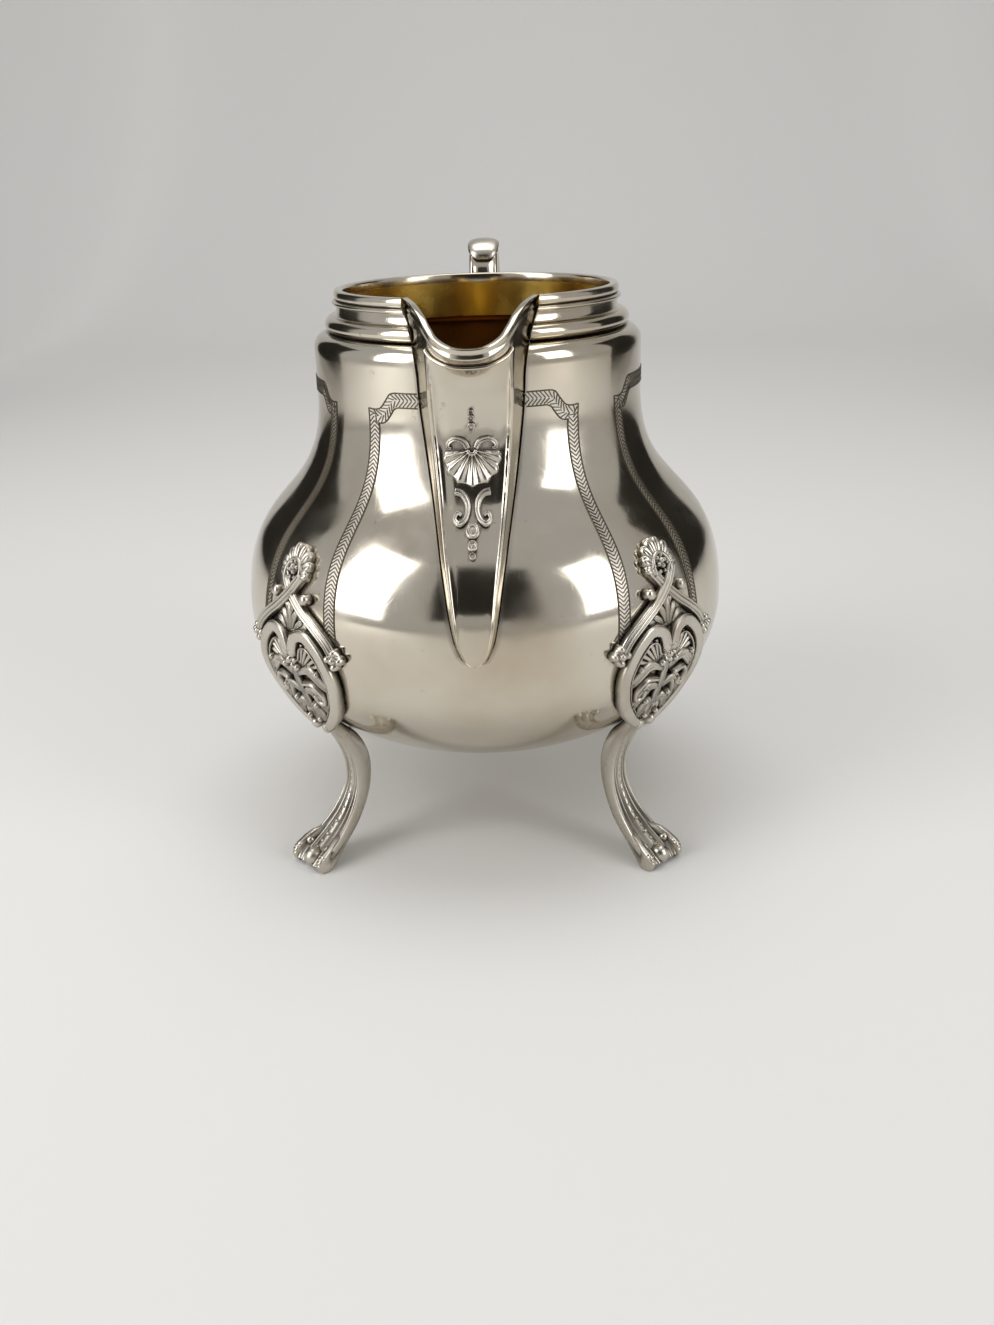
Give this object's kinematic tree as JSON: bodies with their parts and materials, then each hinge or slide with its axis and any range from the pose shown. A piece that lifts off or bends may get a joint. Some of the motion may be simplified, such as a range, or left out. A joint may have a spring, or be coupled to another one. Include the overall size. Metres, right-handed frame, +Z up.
{
  "type": "milk jug",
  "caption": "Pear-shaped silver-plated milk jug on cast cabriole feet with openwork heart cartouches, moulded collar, V-shaped spout with a shell, scroll handle and gilt inside",
  "frame": {"origin": "middle of the jug's outline on the table that it stands on", "axes": "+Z up along the jug's axis, which lies 6.9 mm in front of the origin; -Y is the side of the spout and +Y the side of the handle; +X is the viewer's right when the spout faces the viewer"},
  "size_m": [0.1026, 0.1183, 0.1206],
  "materials": {
    "silver_plate": "polished silver plate, lightly worn and toned",
    "cast_silver": "cast and chased silver plate, darkened in its recesses"
  },
  "bodies": {
    "root": {"body": "silver_plate", "collar": "silver_plate", "rim_wire": "silver_plate", "spout": "silver_plate", "spout_lip": "silver_plate", "lip_fillet": "silver_plate", "spout_shell": "cast_silver", "spout_scrolls": "cast_silver", "spout_pellets": "cast_silver", "spout_drops": "cast_silver", "foot_front_left": "cast_silver", "foot_front_right": "cast_silver", "foot_back_left": "cast_silver", "foot_back_right": "cast_silver", "handle": "silver_plate", "handle_leaf": "cast_silver", "handle_upper_joint": "silver_plate", "handle_lower_joint": "silver_plate"}
  },
  "joints": []
}
